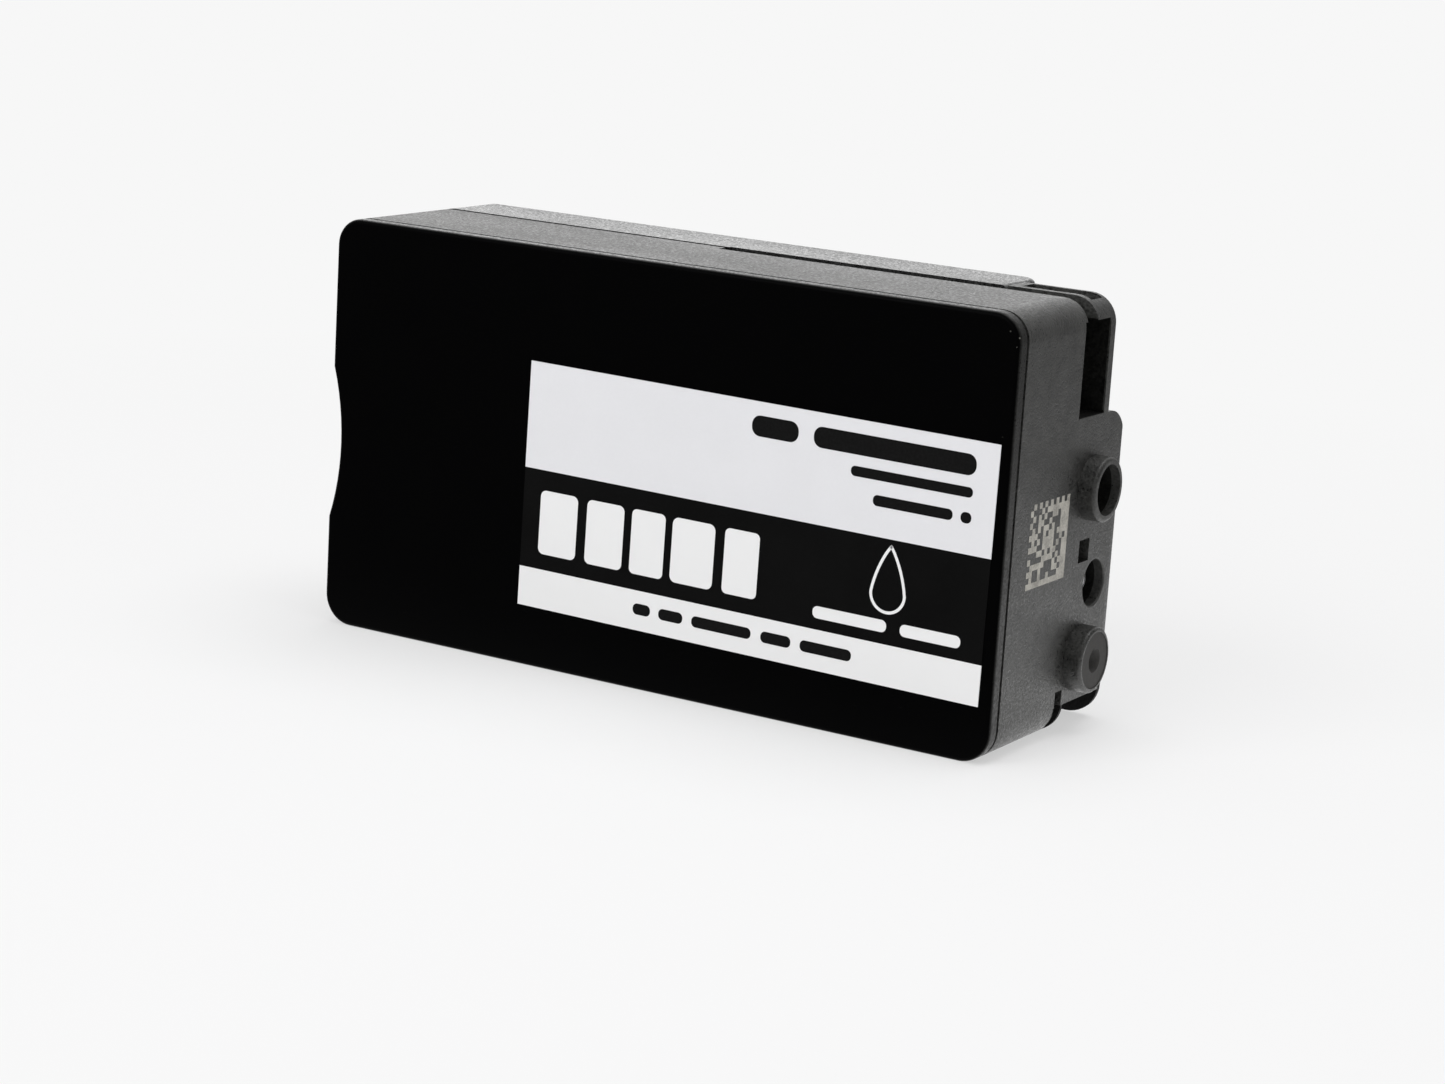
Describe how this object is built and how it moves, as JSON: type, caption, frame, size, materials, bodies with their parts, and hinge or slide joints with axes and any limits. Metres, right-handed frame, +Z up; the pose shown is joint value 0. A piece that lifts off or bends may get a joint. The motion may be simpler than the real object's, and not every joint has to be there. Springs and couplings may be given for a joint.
{
  "type": "inkjet ink cartridge",
  "caption": "Box-shaped ink cartridge of dark plastic that stands on its narrow bottom, with a label on its large face and its ink outlet, fill hole, air port and chip slot on one end.",
  "frame": {"origin": "middle of the box around the part, on the surface it stands on", "axes": "+X towards the end with the ports, +Y from the label face to the back, +Z up as it stands"},
  "size_m": [0.1146, 0.0352, 0.061],
  "materials": {
    "tank_plastic": "fine spark-eroded texture",
    "cover_plastic": "satin",
    "rear_plastic": "fine texture",
    "label_paper": "printed, coated",
    "board_laminate": "solder mask",
    "contact_gold": "gold plated",
    "die_resin": "glossy resin",
    "septum_rubber": "matte",
    "steel": "polished",
    "spring_steel": "drawn wire and strip",
    "filter_mesh": "woven",
    "membrane": "porous",
    "bag_film": "metallised film",
    "clear_plastic": "moulded",
    "plate_plastic": "sheet",
    "seal_film": "clear film"
  },
  "bodies": {
    "housing": {"tank_body": "tank_plastic", "front_cover": "cover_plastic", "rear_cover": "rear_plastic", "front_label": "label_paper", "chip_board": "board_laminate", "chip_contacts": "contact_gold", "chip_die": "die_resin", "outlet_septum": "septum_rubber", "outlet_spring": "spring_steel", "outlet_filter": "filter_mesh", "fill_ball": "steel", "air_membrane": "membrane", "air_bag": "bag_film", "bag_fitment": "clear_plastic", "bag_spring": "spring_steel", "bubbler_ball": "steel", "vent_film": "seal_film"},
    "valve_ball": {"outlet_ball": "steel"},
    "regulator_plate": {"bag_plate": "plate_plastic"}
  },
  "joints": [
    {"name": "valve_ball_slide", "type": "slide", "parent": "housing", "child": "valve_ball", "axis": [-1, 0, 0], "range_m": [0, 0.003], "stiffness_N_per_m": 60, "springref_m": -0.003, "deforming": ["outlet_spring"]},
    {"name": "regulator_slide", "type": "slide", "parent": "housing", "child": "regulator_plate", "axis": [0, -1, 0], "range_m": [0, 0.006], "stiffness_N_per_m": 30, "springref_m": -0.002, "deforming": ["air_bag", "bag_spring"]}
  ]
}
